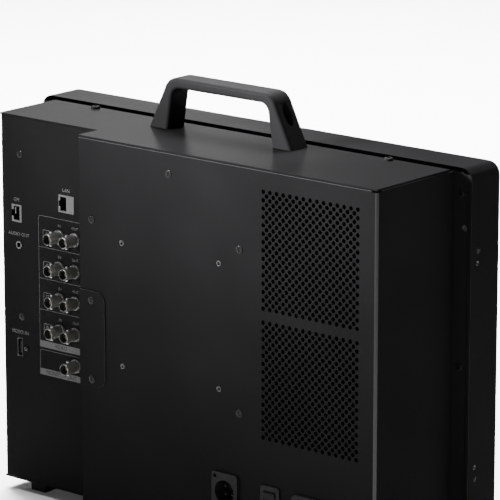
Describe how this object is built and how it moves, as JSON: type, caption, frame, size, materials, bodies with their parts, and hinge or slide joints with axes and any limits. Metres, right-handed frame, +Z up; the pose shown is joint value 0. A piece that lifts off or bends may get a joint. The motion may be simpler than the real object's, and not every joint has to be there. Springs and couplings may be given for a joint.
{
  "type": "reference video monitor",
  "caption": "Professional reference video monitor with a shallow screen housing, a stepped rear box carrying coaxial, data and power connectors, vented rear face and a top carry handle.",
  "frame": {"origin": "on the standing surface, under the middle of the monitor's overall box", "axes": "+Z up; the screen faces -Y and the connector panels face +Y; +X is to the right of someone looking at the screen"},
  "size_m": [0.442, 0.1482, 0.3588],
  "materials": {
    "black_coat": "fine satin black powder coat",
    "handle_coat": "fine satin black coat on a casting",
    "black_plastic": "moulded, lightly textured",
    "black_screw": "black zinc",
    "bright_plate": "nickel plate",
    "raw_steel": "zinc-plated sheet",
    "raw_aluminium": "extruded",
    "supply_case": "folded sheet",
    "screen_surface": "dark display surface",
    "panel_glass": "anti-glare",
    "lens_plastic": "translucent, unlit",
    "board_green": "solder mask",
    "rubber": "matte"
  },
  "bodies": {
    "monitor": {"front_housing": "black_coat", "housing_back": "black_coat", "screen_glass": "panel_glass", "lcd_panel": "screen_surface", "panel_tray": "raw_steel", "tally_lens": "lens_plastic", "rear_cover": "black_coat", "connector_panel": "black_coat", "top_cover": "black_coat", "bottom_cover": "black_coat", "carry_handle": "handle_coat", "handle_bracket": "raw_steel", "handle_screw_left": "black_screw", "handle_screw_right": "black_screw", "top_screw_left": "black_screw", "top_screw_right": "black_screw", "grille_upper": "black_coat", "grille_lower": "black_coat", "fan_frame_upper": "black_plastic", "fan_frame_lower": "black_plastic", "main_board": "board_green", "heat_sink": "raw_aluminium", "power_supply": "supply_case", "signal_board": "board_green", "control_board": "board_green", "lan_jack": "bright_plate", "gpi_jack": "bright_plate", "audio_jack": "bright_plate", "video_jack": "bright_plate", "bnc_in_1": "bright_plate", "bnc_in_2": "bright_plate", "bnc_in_3": "bright_plate", "bnc_in_4": "bright_plate", "bnc_out_1": "bright_plate", "bnc_out_2": "bright_plate", "bnc_out_3": "bright_plate", "bnc_out_4": "bright_plate", "bnc_monitor_out": "bright_plate", "access_plate": "black_coat", "access_screw_upper": "black_screw", "access_screw_lower": "black_screw", "cover_screw_1": "black_screw", "cover_screw_2": "black_screw", "cover_screw_3": "black_screw", "vesa_bracket": "raw_steel", "power_inlet": "black_plastic", "switch_frame": "black_plastic", "dc_inlet": "black_plastic", "foot_left": "rubber", "foot_right": "rubber"},
    "fan_rotor_upper": {"fan_rotor_upper": "black_plastic"},
    "fan_rotor_lower": {"fan_rotor_lower": "black_plastic"},
    "switch_rocker": {"switch_rocker": "black_plastic"},
    "power_button": {"power_button": "black_plastic"},
    "function_button_1": {"function_button_1": "black_plastic"},
    "function_button_2": {"function_button_2": "black_plastic"},
    "function_button_3": {"function_button_3": "black_plastic"},
    "function_button_4": {"function_button_4": "black_plastic"},
    "encoder_shaft": {"encoder_shaft": "raw_steel"},
    "menu_knob": {"menu_knob": "black_plastic"}
  },
  "joints": [
    {"name": "fan_spin_upper", "type": "hinge", "parent": "monitor", "child": "fan_rotor_upper", "pos_m": [-0.1405, 0.06, 0.2531], "axis": [0, 1, 0], "continuous": true},
    {"name": "fan_spin_lower", "type": "hinge", "parent": "monitor", "child": "fan_rotor_lower", "pos_m": [-0.1405, 0.06, 0.151], "axis": [0, 1, 0], "continuous": true},
    {"name": "power_switch_throw", "type": "hinge", "parent": "monitor", "child": "switch_rocker", "pos_m": [-0.103, 0.06933, 0.0545], "axis": [1, 0, 0], "range_deg": [0, 16]},
    {"name": "power_button_press", "type": "slide", "parent": "monitor", "child": "power_button", "axis": [0, 1, 0], "range_m": [0, 0.001], "stiffness_N_per_m": 500, "springref_m": -0.001},
    {"name": "function_button_1_press", "type": "slide", "parent": "monitor", "child": "function_button_1", "axis": [0, 1, 0], "range_m": [0, 0.001], "stiffness_N_per_m": 500, "springref_m": -0.001},
    {"name": "function_button_2_press", "type": "slide", "parent": "monitor", "child": "function_button_2", "axis": [0, 1, 0], "range_m": [0, 0.001], "stiffness_N_per_m": 500, "springref_m": -0.001},
    {"name": "function_button_3_press", "type": "slide", "parent": "monitor", "child": "function_button_3", "axis": [0, 1, 0], "range_m": [0, 0.001], "stiffness_N_per_m": 500, "springref_m": -0.001},
    {"name": "function_button_4_press", "type": "slide", "parent": "monitor", "child": "function_button_4", "axis": [0, 1, 0], "range_m": [0, 0.001], "stiffness_N_per_m": 500, "springref_m": -0.001},
    {"name": "encoder_press", "type": "slide", "parent": "monitor", "child": "encoder_shaft", "axis": [0, 1, 0], "range_m": [0, 0.0005], "stiffness_N_per_m": 1500, "springref_m": -0.001},
    {"name": "menu_knob_turn", "type": "hinge", "parent": "encoder_shaft", "child": "menu_knob", "pos_m": [0.132, -0.067, 0.0395], "axis": [0, -1, 0], "continuous": true}
  ]
}
